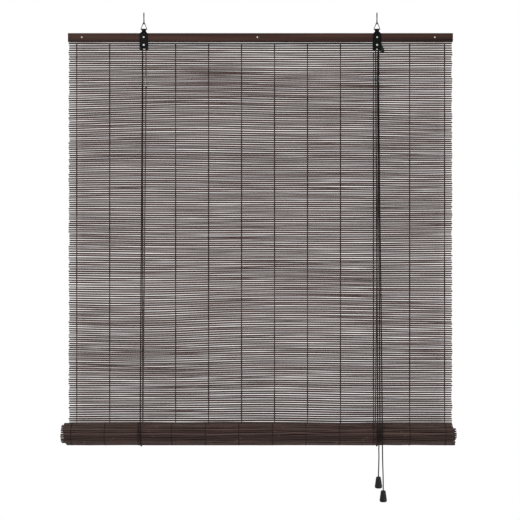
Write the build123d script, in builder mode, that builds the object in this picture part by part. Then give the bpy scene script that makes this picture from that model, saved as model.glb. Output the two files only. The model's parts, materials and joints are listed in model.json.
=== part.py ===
"""Bamboo roll up blind, 1 m wide, hung from two ceiling hooks.

Millimetres. +X is to the right, +Y away from the viewer and +Z up. The origin lies midway
between the two hook shanks, on the ceiling. The reeds hang between two wooden battens, and the
spare length is rolled up in front of them, carried by two cords that run over rollers in the
brackets and end in two tassels.
"""

import os
from math import acos, atan2, cos, hypot, pi, sin

from build123d import *

os.makedirs("parts", exist_ok=True)

# Head rail: two battens with the reed sheet between them
rail_length = 1000.0
rail_height = 22.0
front_batten_depth = 9.0
rear_batten_depth = 5.0
batten_edge_radius = 1.8

# Reed sheet
mat_end_step = 1.0
reed_pitch = 5.6
reed_height = 4.4
reed_depth = 2.0
web_depth = 0.8
hanging_reeds = 185
mat_edge_margin = 11.0

# Warp threads: ten evenly spaced ones from the left edge, then two further apart
even_threads = 10
left_thread_margin = 20.4
right_thread_margins = [204.5, 110.1, 19.2]
thread_width = 2.0
thread_depth = 0.3

# Roll of spare sheet around the bottom slat
roll_radius = 30.0
rolled_turns = 4
turn_pitch = 4.2
turn_shifts = [-6.0, -12.0, -3.0, 4.0]
slat_width = 21.6
slat_depth = 7.0

# Hooks and rings
bracket_spacing = 606.0
hook_wire_radius = 1.5
hook_bowl_radius = 4.5
hook_bowl_z = -11.5
hook_shank_length = 15.0
hook_tip_length = 3.0
hook_straight_end_z = -3.0
hook_bowl_turn = 195.0
ring_wire_radius = 1.0
ring_half_width = 8.2
ring_height = 17.3
ring_corner_radius = 1.3
wire_clearance = 0.2

# Folded steel straps
strap_thickness = 1.2
strap_width = 22.0
strap_neck_width = 11.8
strap_waist_width = 10.4
strap_foot_drop = 21.0
strap_notch_width = 8.5
strap_notch_height = 5.0
neck_to_rail = 9.4

# Screws, rivets and pins
screw_radius = 1.5
screw_head_radius = 2.75
screw_head_height = 1.4
strap_screw_length = 6.0
rail_screw_insets = {"left": 36.0, "right": 47.0}
middle_screw_offset = -8.0
rivet_radius = 1.25
rivet_drop = 9.0
cam_pin_radius = 1.1
hole_clearance = 0.1
running_clearance = 0.08

# Cord, rollers and lock
cord_radius = 1.3
cord_side_step = 1.5
groove_radius = 2.1
groove_width = 5.8
groove_bevel = 0.3
flange_radius = 4.5
side_clearance = 0.3
cam_pin_offset = 8.2
cam_pin_drop = 4.5
cam_hub_radius = 2.6
cam_depth = 7.0
cam_foot_inner = 9.3
cam_foot_outer = 21.0
cam_foot_drop = 5.0
cam_grip_drop = 7.5
cam_tooth_depth = 0.7
cam_tooth_pitch = 1.9
cam_teeth = 4

# Cord anchors behind the sheet, each measured from its bracket
eye_offset = {"left": 4.5, "right": 6.0}
eye_y_setback = 3.2
eye_wire_radius = 0.7
eye_ring_radius = 2.6
eye_shank_length = 8.0
knot_radius = 2.4
knot_height = 4.6
link_top_z = {"left": -151.0, "right": -145.0}
link_length = 26.0
link_radius = 2.8

# Tails and tassels, measured sideways from the cord at the lock
tail_roll_offset = {"left": 4.1, "right": -1.9}
tassel_offset = {"left": 6.3, "right": -5.9}
tassel_top_z = {"left": -1217.0, "right": -1182.0}
tassel_height = 29.0
tassel_top_radius = 6.2
tassel_bottom_radius = 9.4
tassel_recess_radius = 4.0
tassel_recess_depth = 11.0
end_knot_radius = 3.0
end_knot_height = 4.5

# Small gaps between soft or curved pieces
soft_gap = 0.3
cord_gap = 0.1

# Sizes and places that follow from the ones above
mat_width = rail_length - 2 * mat_end_step
slat_length = rail_length
rail_screw_positions = [
    rail_screw_insets["left"] - rail_length / 2,
    middle_screw_offset,
    rail_length / 2 - rail_screw_insets["right"],
]
first_thread_x = left_thread_margin - mat_width / 2
right_thread_positions = [mat_width / 2 - margin for margin in right_thread_margins]
thread_spacing = (right_thread_positions[0] - first_thread_x) / (even_threads - 1)
even_thread_positions = [first_thread_x + i * thread_spacing for i in range(even_threads)]
thread_positions = even_thread_positions + right_thread_positions[1:]
reeds_in_rail = int(rail_height // reed_pitch)
strap_half_gap = (front_batten_depth - strap_thickness) / 2
batten_front_y = -strap_half_gap
mat_front_y = batten_front_y + front_batten_depth
mat_middle_y = mat_front_y + reed_depth / 2
mat_rear_y = mat_front_y + reed_depth
rear_batten_y = mat_rear_y + rear_batten_depth
hook_bottom_z = hook_bowl_z - hook_bowl_radius
ring_top_z = hook_bottom_z + hook_wire_radius + wire_clearance + ring_wire_radius
ring_base_z = ring_top_z - ring_height
fold_radius = ring_wire_radius + soft_gap
rail_top_z = ring_base_z - neck_to_rail
rail_bottom_z = rail_top_z - rail_height
rail_middle_z = (rail_top_z + rail_bottom_z) / 2
strap_foot_z = rail_bottom_z - strap_foot_drop
rivet_z = rail_bottom_z - rivet_drop
mat_top_z = rail_top_z - 1.0
web_height = reed_pitch - reed_height
roll_axis_z = mat_top_z - hanging_reeds * reed_pitch
roll_axis_y = mat_front_y - thread_depth - soft_gap - roll_radius
bracket_x = {"left": -bracket_spacing / 2, "right": bracket_spacing / 2}
roller_width = 2 * (strap_half_gap - side_clearance)
cord_on_roller_radius = groove_radius + cord_radius + soft_gap
loop_radius = roll_radius + soft_gap + cord_radius
loop_rear_y = mat_rear_y + thread_depth + soft_gap + cord_radius
cord_side = {"left": cord_side_step, "right": -cord_side_step}
loop_x = {side: bracket_x[side] - cord_on_roller_radius for side in bracket_x}
lock_cord_x = bracket_x["right"] + cord_on_roller_radius
eye_x = {side: bracket_x[side] + eye_offset[side] for side in bracket_x}
tail_roll_x = {side: lock_cord_x + tail_roll_offset[side] for side in bracket_x}
tassel_x = {side: lock_cord_x + tassel_offset[side] for side in bracket_x}
cord_end_z = rivet_z - 3.0
eye_y = mat_rear_y + eye_y_setback
cam_x = bracket_x["right"] + cam_pin_offset
cam_z = rail_bottom_z - cam_pin_drop
eye_centre_z = rail_bottom_z - eye_ring_radius - 2 * eye_wire_radius


def write(builder, label):
    """Label a finished piece and write it to its own STEP file."""
    builder.part.label = label
    export_step(builder.part, f"parts/{label}.step")


# Battens of the head rail


def batten(front_y, depth, outer_face):
    """Plain batten whose two long outer edges are rounded and whose inner face is flat."""
    with BuildPart() as plank:
        with BuildSketch(Plane.YZ):
            with Locations((front_y + depth / 2, rail_middle_z)):
                Rectangle(depth, rail_height)
        extrude(amount=rail_length / 2, both=True)
        outer = plank.faces().sort_by(Axis.Y)[outer_face]
        fillet(outer.edges().filter_by(Axis.X), radius=batten_edge_radius)
    return plank.part


with BuildPart() as front_batten:
    add(batten(batten_front_y, front_batten_depth, outer_face=0))
    with BuildSketch(Plane.XZ.offset(-mat_front_y)):
        with GridLocations(bracket_spacing, 0, 2, 1):
            with Locations((0, rail_middle_z)):
                Rectangle(strap_width, rail_height)
    extrude(amount=strap_thickness, mode=Mode.SUBTRACT)
    with BuildSketch(Plane.XZ):
        with Locations(*[(x, rail_middle_z) for x in rail_screw_positions]):
            Circle(screw_radius + hole_clearance)
    extrude(amount=rail_height, both=True, mode=Mode.SUBTRACT)
    with BuildSketch(Plane.XZ.offset(-batten_front_y)):
        with Locations(*[(x, rail_middle_z) for x in bracket_x.values()]):
            Circle(screw_radius + hole_clearance)
    extrude(amount=-(strap_screw_length + hole_clearance), mode=Mode.SUBTRACT)
write(front_batten, "front_batten")

with BuildPart() as rear_batten:
    add(batten(mat_rear_y, rear_batten_depth, outer_face=-1))
    with BuildSketch(Plane.XZ.offset(-mat_rear_y)):
        with Locations(*[(x, rail_middle_z) for x in rail_screw_positions]):
            Circle(screw_radius + hole_clearance)
    extrude(amount=-rear_batten_depth / 2, mode=Mode.SUBTRACT)
    with BuildSketch(Plane.XY.offset(rail_bottom_z)):
        with Locations(*[(x, eye_y) for x in eye_x.values()]):
            Circle(eye_wire_radius + hole_clearance)
    extrude(amount=eye_shank_length + hole_clearance, mode=Mode.SUBTRACT)
write(rear_batten, "rear_batten")


# Screws with low domed heads


def domed_fastener(x, z, face_y, shank_radius, shank_length):
    """Fastener along +Y: a domed head that stands on the plane y = face_y, and its shank."""
    dome_radius = (screw_head_radius**2 + screw_head_height**2) / (2 * screw_head_height)
    with BuildPart() as fastener:
        with BuildSketch(Plane(origin=(x, face_y, z), x_dir=(1, 0, 0), z_dir=(0, 0, 1))):
            with BuildLine():
                Polyline(
                    (0, -screw_head_height),
                    (0, shank_length),
                    (shank_radius, shank_length),
                    (shank_radius, 0),
                    (screw_head_radius, 0),
                )
                RadiusArc((0, -screw_head_height), (screw_head_radius, 0), -dome_radius)
            make_face()
        revolve(axis=Axis((x, face_y, z), (0, 1, 0)))
    return fastener.part


strap_front_y = batten_front_y - strap_thickness

with BuildPart() as strap_screws:
    for centre_x in bracket_x.values():
        add(
            domed_fastener(
                centre_x,
                rail_middle_z,
                strap_front_y,
                screw_radius,
                strap_screw_length + strap_thickness,
            )
        )
write(strap_screws, "strap_screws")

rail_screw_length = front_batten_depth + reed_depth + rear_batten_depth / 2 - hole_clearance
with BuildPart() as rail_screws:
    for centre_x in rail_screw_positions:
        add(
            domed_fastener(
                centre_x, rail_middle_z, batten_front_y, screw_radius, rail_screw_length
            )
        )
write(rail_screws, "rail_screws")

rivet_length = front_batten_depth + strap_thickness - hole_clearance
with BuildPart() as roller_rivets:
    for centre_x in bracket_x.values():
        add(domed_fastener(centre_x, rivet_z, strap_front_y, rivet_radius, rivet_length))
write(roller_rivets, "roller_rivets")


# Ceiling hooks, rings and straps, one of each at either end


def ceiling_hook(x):
    """Screw hook: a pointed shank, an offset bend and a bowl under the shank."""
    fall = hook_straight_end_z - hook_bowl_z
    bend_angle = 2 * atan2(hook_bowl_radius, fall)
    bend_radius = fall / (2 * sin(bend_angle))
    bend_degrees = bend_angle * 180 / pi
    with BuildPart() as hook:
        with BuildLine(Plane.YZ.offset(x)) as route:
            shank = Line((0, hook_shank_length - hook_tip_length), (0, hook_straight_end_z))
            out = JernArc(shank @ 1, shank % 1, bend_radius, bend_degrees)
            back = JernArc(out @ 1, out % 1, bend_radius, -bend_degrees)
            JernArc(back @ 1, back % 1, hook_bowl_radius, -hook_bowl_turn)
        with BuildSketch(Plane(origin=route.line @ 0, z_dir=route.line % 0)):
            Circle(hook_wire_radius)
        sweep(path=route.line)
        tip_base = Plane.XY.offset(hook_shank_length - hook_tip_length)
        with BuildSketch(tip_base):
            with Locations((x, 0)):
                Circle(hook_wire_radius)
        with BuildSketch(Plane.XY.offset(hook_shank_length)):
            with Locations((x, 0)):
                Circle(hook_wire_radius / 4)
        loft()
    return hook


def wire_ring(x):
    """Ring bent from wire: a straight bar under a rounded triangle."""
    apex_radius = hook_wire_radius + ring_wire_radius + wire_clearance
    shoulder_x = 0.72 * apex_radius
    with BuildPart() as ring:
        with BuildLine(Plane.XZ) as route:
            FilletPolyline(
                (x, ring_base_z),
                (x + ring_half_width, ring_base_z),
                (x + shoulder_x, ring_top_z),
                (x, ring_top_z),
                radius=[ring_corner_radius, apex_radius],
            )
        with BuildSketch(Plane(origin=route.line @ 0, z_dir=route.line % 0)):
            Circle(ring_wire_radius)
        sweep(path=route.line)
        mirror(about=Plane.YZ.offset(x))
    return ring


def folded_strap(x, with_cam_hole):
    """Sheet steel folded over the ring's bar, spread over the front batten and cut to outline."""
    neck_y = fold_radius + strap_thickness / 2
    leg_y = strap_half_gap + strap_thickness / 2
    spread_top_z = ring_base_z - 3.0
    spread_bottom_z = rail_top_z + 0.5
    shoulder_top_z = ring_base_z - 5.0
    shoulder_bottom_z = rail_top_z - 2.0
    fold_top_z = ring_base_z + fold_radius + strap_thickness
    half_neck = strap_neck_width / 2
    half_waist = strap_waist_width / 2
    half_width = strap_width / 2
    half_notch = strap_notch_width / 2
    with BuildPart() as strap:
        with BuildSketch(Plane.YZ.offset(x)):
            with BuildLine():
                front = FilletPolyline(
                    (-leg_y, strap_foot_z),
                    (-leg_y, spread_bottom_z),
                    (-neck_y, spread_top_z),
                    (-neck_y, ring_base_z),
                    radius=[2.0, 2.0],
                )
                rear = FilletPolyline(
                    (leg_y, strap_foot_z),
                    (leg_y, spread_bottom_z),
                    (neck_y, spread_top_z),
                    (neck_y, ring_base_z),
                    radius=[2.0, 2.0],
                )
                ThreePointArc(front @ 1, (0, ring_base_z + neck_y), rear @ 1)
            trace(line_width=strap_thickness)
        extrude(amount=half_width, both=True)
        with BuildSketch(Plane.XZ):
            with BuildLine():
                Polyline(
                    (x, fold_top_z + 1.0),
                    (x + half_neck, fold_top_z + 1.0),
                    (x + half_neck, ring_base_z),
                    (x + half_waist, shoulder_top_z),
                    (x + half_width, shoulder_bottom_z),
                    (x + half_width, strap_foot_z),
                    (x + half_notch, strap_foot_z),
                    (x + half_notch, strap_foot_z + strap_notch_height),
                    (x, strap_foot_z + strap_notch_height),
                )
                mirror(about=Plane.YZ.offset(x))
            make_face()
        extrude(amount=front_batten_depth, both=True, mode=Mode.INTERSECT)
        with BuildSketch(Plane.XZ.offset(-batten_front_y)):
            with Locations((x, rail_middle_z)):
                Circle(screw_radius + hole_clearance)
        extrude(amount=front_batten_depth, mode=Mode.SUBTRACT)
        with BuildSketch(Plane.XZ):
            with Locations((x, rivet_z)):
                Circle(rivet_radius + hole_clearance)
            if with_cam_hole:
                with Locations((cam_x, cam_z)):
                    Circle(cam_pin_radius + hole_clearance)
        extrude(amount=front_batten_depth, both=True, mode=Mode.SUBTRACT)
        feet = strap.edges().filter_by(Axis.Y).group_by(Axis.Z)[0].sort_by(Axis.X)
        fillet([feet[0], feet[1], feet[-2], feet[-1]], radius=2.0)
    return strap


def cord_roller(x):
    """Grooved roller that turns on the strap's rivet."""
    half_width = roller_width / 2
    half_groove = groove_width / 2
    bore = rivet_radius + running_clearance
    with BuildPart() as roller:
        with BuildSketch(Plane(origin=(x, 0, rivet_z), x_dir=(1, 0, 0), z_dir=(0, 0, 1))):
            with BuildLine():
                Polyline(
                    (bore, -half_width),
                    (flange_radius, -half_width),
                    (flange_radius, -half_groove - groove_bevel),
                    (groove_radius, -half_groove),
                    (groove_radius, half_groove),
                    (flange_radius, half_groove + groove_bevel),
                    (flange_radius, half_width),
                    (bore, half_width),
                    close=True,
                )
            make_face()
        revolve(axis=Axis((x, 0, rivet_z), (0, 1, 0)))
    return roller


for side, centre_x in bracket_x.items():
    write(ceiling_hook(centre_x), f"hook_{side}")
    write(wire_ring(centre_x), f"ring_{side}")
    write(folded_strap(centre_x, with_cam_hole=side == "right"), f"strap_{side}")
    write(cord_roller(centre_x), f"roller_{side}")


# Toothed cord lock in the right strap

grip_x = lock_cord_x + cord_radius + soft_gap
grip_top_z = cam_z - cam_grip_drop
grip_bottom_z = grip_top_z - cam_teeth * cam_tooth_pitch
cam_foot_z = strap_foot_z - cam_foot_drop

with BuildPart() as lock_cam:
    with BuildSketch(Plane.XZ.offset(-cam_depth / 2)):
        with Locations((cam_x, cam_z)):
            Circle(cam_hub_radius)
        with BuildLine():
            teeth = [(cam_x - cam_hub_radius + 0.3, cam_z), (grip_x + cam_tooth_depth, grip_top_z)]
            for tooth in range(cam_teeth):
                tooth_top_z = grip_top_z - tooth * cam_tooth_pitch
                teeth.append((grip_x, tooth_top_z - cam_tooth_pitch / 2))
                teeth.append((grip_x + cam_tooth_depth, tooth_top_z - cam_tooth_pitch))
            Polyline(
                *teeth,
                (bracket_x["right"] + cam_foot_inner, cam_foot_z),
                (bracket_x["right"] + cam_foot_outer, cam_foot_z),
                (cam_x + cam_hub_radius - 0.2, cam_z + 1.2),
                (cam_x, cam_z),
                close=True,
            )
        make_face()
        with Locations((cam_x, cam_z)):
            Circle(cam_pin_radius + running_clearance, mode=Mode.SUBTRACT)
    extrude(amount=cam_depth)
    foot_edges = lock_cam.edges().filter_by(Axis.Y).group_by(Axis.Z)[0]
    fillet(foot_edges, radius=2.0)
write(lock_cam, "lock_cam")

with BuildPart() as cam_pin:
    with BuildSketch(Plane.XZ.offset(-strap_front_y)):
        with Locations((cam_x, cam_z)):
            Circle(cam_pin_radius)
    extrude(amount=-rivet_length)
write(cam_pin, "cam_pin")


# Reed sheet: ridges for the reeds, thin webs between them, and every second web cut through


def reed_chain(ridge_y, web_y):
    """Points down one side of the hanging sheet, three for each reed."""
    chain = []
    for reed in range(hanging_reeds):
        top_z = mat_top_z - reed * reed_pitch
        chain.append((web_y, top_z))
        chain.append((ridge_y, top_z - reed_height / 2))
        chain.append((web_y, top_z - reed_height))
    return chain


with BuildPart() as reed_mat:
    with BuildSketch(Plane.YZ):
        with BuildLine():
            Polyline(
                *reed_chain(mat_front_y, mat_middle_y - web_depth / 2),
                *reversed(reed_chain(mat_rear_y, mat_middle_y + web_depth / 2)),
                close=True,
            )
        make_face()
    extrude(amount=mat_width / 2, both=True)
    slot_count = (hanging_reeds - reeds_in_rail) // 2
    first_slot_z = mat_top_z - reeds_in_rail * reed_pitch - reed_height - web_height / 2
    last_slot_z = first_slot_z - (slot_count - 1) * 2 * reed_pitch
    with BuildSketch(Plane.XZ):
        with Locations((0, (first_slot_z + last_slot_z) / 2)):
            with GridLocations(0, 2 * reed_pitch, 1, slot_count):
                Rectangle(mat_width - 2 * mat_edge_margin, web_height)
        with Locations(*[(x, rail_middle_z) for x in rail_screw_positions]):
            Circle(screw_radius + hole_clearance)
    extrude(amount=-rail_height, mode=Mode.SUBTRACT)
write(reed_mat, "reed_mat")


# Warp threads: a thin band down the front and the back of the sheet at each stitch line

with BuildPart() as warp_threads:
    for thread_x in thread_positions:
        under_strap = min(abs(thread_x - x) for x in bracket_x.values()) < strap_width / 2 + 1
        front_top_z = (strap_foot_z if under_strap else rail_bottom_z) - soft_gap
        rear_top_z = rail_bottom_z - soft_gap
        for face_y, top_z, step in (
            (mat_front_y, front_top_z, 1),
            (mat_rear_y, rear_top_z, -1),
        ):
            length = top_z - roll_axis_z - reed_pitch
            with BuildSketch(Plane.XZ.offset(-face_y)):
                with Locations((thread_x, top_z - length / 2)):
                    Rectangle(thread_width, length)
            extrude(amount=step * thread_depth)
write(warp_threads, "warp_threads")


# Roll: the same sheet wound in a spiral around the bottom slat, its turns a little out of line


def turn_radius(angle):
    """Radius of the middle of the sheet: even from rear to front, where the cords carry it."""
    turns_wound = angle / (2 * pi)
    if turns_wound < 1:
        turns_wound = max(0.0, 2 * turns_wound - 1)
    return roll_radius - reed_depth / 2 - turn_pitch * turns_wound


def at_angle(radius, angle):
    """Point of the end view, from the rear of the roll down and round to its front."""
    return (roll_axis_y + radius * cos(angle), roll_axis_z - radius * sin(angle))


def wound_reeds():
    """Angles of the reeds, one sheet pitch apart along the spiral."""
    angles = [0.0]
    while angles[-1] < 2 * pi * rolled_turns:
        angles.append(angles[-1] + reed_pitch / turn_radius(angles[-1]))
    return angles


def wound_side(angles, first_cut, last_cut, side):
    """Points along the outer side (1) or the inner side (-1) of one turn, between its cuts."""
    web = side * web_depth / 2
    ridge = side * reed_depth / 2
    points = [at_angle(turn_radius(first_cut) + web, first_cut)]
    for angle in angles:
        radius = turn_radius(angle)
        half_reed = reed_height / 2 / radius
        points.append(at_angle(radius + web, angle - half_reed))
        points.append(at_angle(radius + ridge, angle))
        points.append(at_angle(radius + web, angle + half_reed))
    points.append(at_angle(turn_radius(last_cut) + web, last_cut))
    return points


reed_angles = wound_reeds()
with BuildPart() as mat_roll:
    cut = reed_angles[0] - reed_pitch / 2 / roll_radius
    for turn, shift in enumerate(turn_shifts[:rolled_turns]):
        in_turn = [a for a in reed_angles if turn <= a / (2 * pi) < turn + 1]
        next_cut = in_turn[-1] + reed_pitch / 2 / turn_radius(in_turn[-1])
        with BuildSketch(Plane.YZ.offset(shift - mat_width / 2)):
            with BuildLine():
                Polyline(
                    *wound_side(in_turn, cut, next_cut, 1),
                    *reversed(wound_side(in_turn, cut, next_cut, -1)),
                    close=True,
                )
            make_face()
        extrude(amount=mat_width)
        cut = next_cut
write(mat_roll, "mat_roll")

with BuildPart() as bottom_slat:
    with BuildSketch(Plane.YZ):
        with Locations((roll_axis_y, roll_axis_z)):
            RectangleRounded(slat_width, slat_depth, radius=1.0)
    extrude(amount=slat_length / 2, both=True)
write(bottom_slat, "bottom_slat")


# Cords


def write_cord(route, label):
    """Sweep the cord's round section along a route, and print how its volume compares."""
    path = route.wire()
    with BuildPart() as cord:
        with BuildSketch(Plane(origin=path @ 0, z_dir=path % 0)):
            Circle(cord_radius)
        sweep(path=path)
    write(cord, label)
    expected = pi * cord_radius**2 * path.length
    radii = [round(e.radius, 1) for e in path.edges().filter_by(GeomType.CIRCLE)]
    share = cord.part.volume / expected
    print(label, "length", round(path.length, 1), "radii", radii, "volume share", round(share, 5))


def tangent_to_roll(start_y, start_z):
    """Point where a straight cord from above meets the front of the loop's circle."""
    rise_y = start_y - roll_axis_y
    rise_z = start_z - roll_axis_z
    lean = atan2(rise_y, rise_z)
    angle = acos(loop_radius / hypot(rise_y, rise_z)) - lean
    return (roll_axis_y - loop_radius * sin(angle), roll_axis_z + loop_radius * cos(angle))


for side, centre_x in bracket_x.items():
    cord_y = cord_side[side]
    touch_y, touch_z = tangent_to_roll(cord_y, cord_end_z)

    with BuildLine() as front_run:
        Line((loop_x[side], cord_y, cord_end_z - cord_gap), (loop_x[side], touch_y, touch_z))
    write_cord(front_run, f"{side}_front_run")

    touch_angle = atan2(touch_z - roll_axis_z, roll_axis_y - touch_y) * 180 / pi
    rear_centre_y = loop_rear_y - loop_radius
    loop_bottom_z = roll_axis_z - loop_radius
    with BuildLine(Plane.YZ.offset(loop_x[side])) as loop:
        CenterArc((roll_axis_y, roll_axis_z), loop_radius, 180 - touch_angle, 90 + touch_angle)
        Line((roll_axis_y, loop_bottom_z), (rear_centre_y, loop_bottom_z))
        CenterArc((rear_centre_y, roll_axis_z), loop_radius, -90, 90)
    write_cord(loop, f"{side}_roll_loop")

    knot_top_z = eye_centre_z - eye_ring_radius - eye_wire_radius - cord_gap
    upper_knot_z = link_top_z[side] + knot_height
    with BuildLine() as rear_top:
        Line((eye_x[side], eye_y, knot_top_z - knot_height), (eye_x[side], eye_y, upper_knot_z))
    write_cord(rear_top, f"{side}_rear_top")

    run_top_z = link_top_z[side] - link_length - knot_height
    with BuildLine() as rear_run:
        Line(
            (eye_x[side], eye_y, run_top_z - cord_gap),
            (loop_x[side], loop_rear_y, roll_axis_z + cord_gap),
        )
    write_cord(rear_run, f"{side}_rear_run")

    with BuildLine() as tail_upper:
        Line(
            (lock_cord_x, cord_y, cord_end_z - cord_gap),
            (tail_roll_x[side], touch_y, touch_z),
        )
    write_cord(tail_upper, f"{side}_tail_upper")

    with BuildLine() as tail_lower:
        Line(
            (tail_roll_x[side], touch_y, touch_z - 2 * cord_gap),
            (tassel_x[side], touch_y, tassel_top_z[side] + cord_gap),
        )
    write_cord(tail_lower, f"{side}_tail_lower")

roller_top_z = rivet_z + cord_on_roller_radius

with BuildLine(Plane.XZ.offset(-cord_side["left"])) as cross_cord_route:
    Line((loop_x["left"], cord_end_z), (loop_x["left"], rivet_z))
    CenterArc((bracket_x["left"], rivet_z), cord_on_roller_radius, 180, -90)
    Line((bracket_x["left"], roller_top_z), (bracket_x["right"], roller_top_z))
    CenterArc((bracket_x["right"], rivet_z), cord_on_roller_radius, 90, -90)
    Line((lock_cord_x, rivet_z), (lock_cord_x, cord_end_z))
write_cord(cross_cord_route, "cross_cord")

with BuildLine(Plane.XZ.offset(-cord_side["right"])) as right_top_route:
    Line((loop_x["right"], cord_end_z), (loop_x["right"], rivet_z))
    CenterArc((bracket_x["right"], rivet_z), cord_on_roller_radius, 180, -180)
    Line((lock_cord_x, rivet_z), (lock_cord_x, cord_end_z))
write_cord(right_top_route, "right_roller_cord")


# Anchors of the cords behind the sheet: screw eyes, knots and clear breakaway links


def screw_eye(x):
    """Small eye screwed up into the lower edge of the rear batten."""
    with BuildPart() as eye:
        with Locations(Location((x, eye_y, eye_centre_z), (90, 0, 0))):
            Torus(eye_ring_radius, eye_wire_radius)
        with BuildSketch(Plane.XY.offset(rail_bottom_z + eye_shank_length)):
            with Locations((x, eye_y)):
                Circle(eye_wire_radius)
        extrude(amount=-(eye_shank_length + 1.5 * eye_wire_radius))
    return eye


def breakaway_link(x, top_z):
    """Clear plastic link in two halves that pull apart at the groove in its middle."""
    half = link_length / 2
    with BuildPart() as link:
        with BuildSketch(Plane(origin=(x, eye_y, top_z - half), x_dir=(1, 0, 0), z_dir=(0, -1, 0))):
            with BuildLine():
                Polyline(
                    (0, -half),
                    (cord_radius + 0.4, -half),
                    (link_radius, -half + 3.0),
                    (link_radius, -0.5),
                    (link_radius - 0.5, 0),
                    (link_radius, 0.5),
                    (link_radius, half - 3.0),
                    (cord_radius + 0.4, half),
                    (0, half),
                    close=True,
                )
            make_face()
        revolve(axis=Axis((x, eye_y, top_z), (0, 0, 1)))
    return link


with BuildPart() as cord_knots:
    for side, knot_x in eye_x.items():
        eye_knot_top = eye_centre_z - eye_ring_radius - eye_wire_radius - cord_gap
        for top_z in (
            eye_knot_top,
            link_top_z[side] + knot_height,
            link_top_z[side] - link_length,
        ):
            with BuildSketch(Plane.XY.offset(top_z)):
                with Locations((knot_x, eye_y)):
                    Circle(knot_radius)
            extrude(amount=-knot_height)
    fillet(cord_knots.edges().filter_by(GeomType.CIRCLE), radius=0.8)
write(cord_knots, "cord_knots")

for side in bracket_x:
    write(screw_eye(eye_x[side]), f"screw_eye_{side}")
    write(breakaway_link(eye_x[side], link_top_z[side]), f"breakaway_{side}")


# Tassels: turned bells with a cord hole, and a recess below that hides the knot


def tassel(x, y, top_z):
    """Bell on the end of a cord."""
    with BuildPart() as bell:
        with BuildSketch(Plane(origin=(x, y, top_z), x_dir=(1, 0, 0), z_dir=(0, -1, 0))):
            with BuildLine():
                Polyline(
                    (cord_radius + hole_clearance, 0),
                    (tassel_top_radius - 1.0, 0),
                    (tassel_top_radius, -1.6),
                    (tassel_bottom_radius, -tassel_height + 5.0),
                )
                Bezier(
                    (tassel_bottom_radius, -tassel_height + 5.0),
                    (tassel_bottom_radius + 0.2, -tassel_height + 1.5),
                    (tassel_bottom_radius - 1.0, -tassel_height),
                    (tassel_recess_radius + 1.5, -tassel_height),
                )
                Polyline(
                    (tassel_recess_radius + 1.5, -tassel_height),
                    (tassel_recess_radius, -tassel_height),
                    (tassel_recess_radius, -tassel_height + tassel_recess_depth),
                    (cord_radius + hole_clearance, -tassel_height + tassel_recess_depth),
                    (cord_radius + hole_clearance, 0),
                )
            make_face()
        revolve(axis=Axis((x, y, top_z), (0, 0, 1)))
    return bell


def tail_end(x, y, top_z):
    """Last stretch of a tail, through the tassel's hole, and the knot that the tassel sits on."""
    recess_z = top_z - tassel_height + tassel_recess_depth
    with BuildPart() as end:
        with BuildSketch(Plane.XY.offset(recess_z - cord_gap)):
            with Locations((x, y)):
                Circle(end_knot_radius)
        extrude(amount=-end_knot_height)
        fillet(end.edges().filter_by(GeomType.CIRCLE), radius=1.2)
        with BuildSketch(Plane.XY.offset(top_z)):
            with Locations((x, y)):
                Circle(cord_radius)
        extrude(amount=-(tassel_height - tassel_recess_depth + end_knot_height / 2))
    return end


for side in bracket_x:
    tail_y = tangent_to_roll(cord_side[side], cord_end_z)[0]
    write(tassel(tassel_x[side], tail_y, tassel_top_z[side]), f"tassel_{side}")
    write(tail_end(tassel_x[side], tail_y, tassel_top_z[side]), f"{side}_tail_end")
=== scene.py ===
# %% [markdown]
# # A bamboo roll up blind
# The frame holds every rigid piece of the blind at its real place: battens, straps, hooks, rollers,
# tassels. It comes first, because each piece made below is sized and placed from it. Everything is
# in metres, X to the right, Y away from the viewer and Z up, with the ceiling at Z = 0.

# %% Load the frame
import json
from math import pi

import bpy
import numpy as np
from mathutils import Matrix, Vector


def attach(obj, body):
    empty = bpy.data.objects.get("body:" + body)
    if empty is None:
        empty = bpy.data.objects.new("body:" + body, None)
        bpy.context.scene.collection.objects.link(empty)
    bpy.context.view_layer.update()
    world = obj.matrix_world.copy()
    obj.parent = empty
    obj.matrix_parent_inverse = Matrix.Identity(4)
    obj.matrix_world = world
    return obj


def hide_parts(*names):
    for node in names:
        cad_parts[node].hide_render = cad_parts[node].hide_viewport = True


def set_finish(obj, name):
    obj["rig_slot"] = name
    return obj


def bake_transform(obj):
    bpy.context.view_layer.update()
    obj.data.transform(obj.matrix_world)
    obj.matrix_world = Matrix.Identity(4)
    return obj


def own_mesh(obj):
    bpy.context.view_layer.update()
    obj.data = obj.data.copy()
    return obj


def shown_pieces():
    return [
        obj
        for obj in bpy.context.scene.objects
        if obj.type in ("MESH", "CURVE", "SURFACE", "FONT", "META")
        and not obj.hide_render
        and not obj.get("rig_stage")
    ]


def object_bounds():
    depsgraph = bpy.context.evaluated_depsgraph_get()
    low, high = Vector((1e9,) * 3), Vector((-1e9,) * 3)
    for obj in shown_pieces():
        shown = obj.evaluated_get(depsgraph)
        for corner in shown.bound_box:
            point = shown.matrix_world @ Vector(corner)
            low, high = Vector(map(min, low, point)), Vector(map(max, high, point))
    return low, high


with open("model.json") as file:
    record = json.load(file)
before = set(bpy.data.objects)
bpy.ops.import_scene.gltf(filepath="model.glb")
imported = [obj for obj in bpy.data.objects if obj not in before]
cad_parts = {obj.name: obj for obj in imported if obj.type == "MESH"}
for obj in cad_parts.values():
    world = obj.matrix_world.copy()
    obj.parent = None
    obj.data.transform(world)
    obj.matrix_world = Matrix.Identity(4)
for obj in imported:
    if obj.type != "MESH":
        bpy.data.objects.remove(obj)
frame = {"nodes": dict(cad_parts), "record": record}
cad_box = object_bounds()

scene = bpy.context.scene
scene.view_settings.view_transform = "Standard"
mm = 0.001
print("frame box", [[round(v, 4) for v in corner] for corner in cad_box])

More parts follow.
